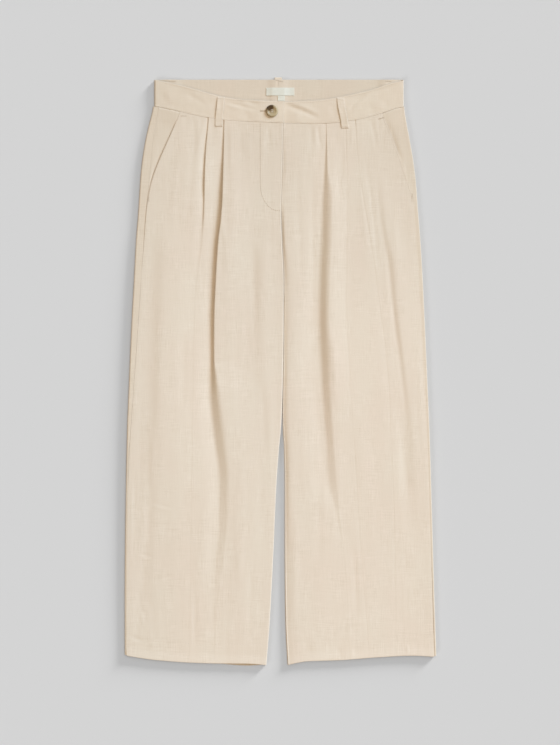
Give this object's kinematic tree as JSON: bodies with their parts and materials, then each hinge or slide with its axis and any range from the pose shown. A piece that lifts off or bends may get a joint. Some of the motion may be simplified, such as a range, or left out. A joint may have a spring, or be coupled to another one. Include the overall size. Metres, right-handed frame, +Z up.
{
  "type": "culottes",
  "caption": "Cropped wide-leg culottes laid flat, with a buttoned waistband, belt loops, slanted pockets and waist pleats that open into long folds.",
  "frame": {"origin": "on the surface that the culottes lie on, under the middle of their bounding box", "axes": "+Y from the hems towards the waistband, +Z up from the surface, +X towards the wearer's left side as the front faces up"},
  "size_m": [0.4868, 0.9178, 0.0097],
  "materials": {
    "linen": "crinkled woven linen, matt, pale sand",
    "label": "smooth woven tape, off-white",
    "horn": "polished, mottled dark brown to pale beige like horn"
  },
  "bodies": {
    "root": {"front_right": "linen", "front_left": "linen", "back_right": "linen", "back_left": "linen", "waistband_right": "linen", "waistband_left": "linen", "pocket_right": "linen", "pocket_left": "linen", "fly_underlap": "linen", "belt_loop_back_right": "linen", "belt_loop_back_centre": "linen", "belt_loop_back_left": "linen", "belt_loop_front_right": "linen", "belt_loop_front_left": "linen", "waist_label": "label", "size_tab": "label", "button": "horn"}
  },
  "joints": []
}
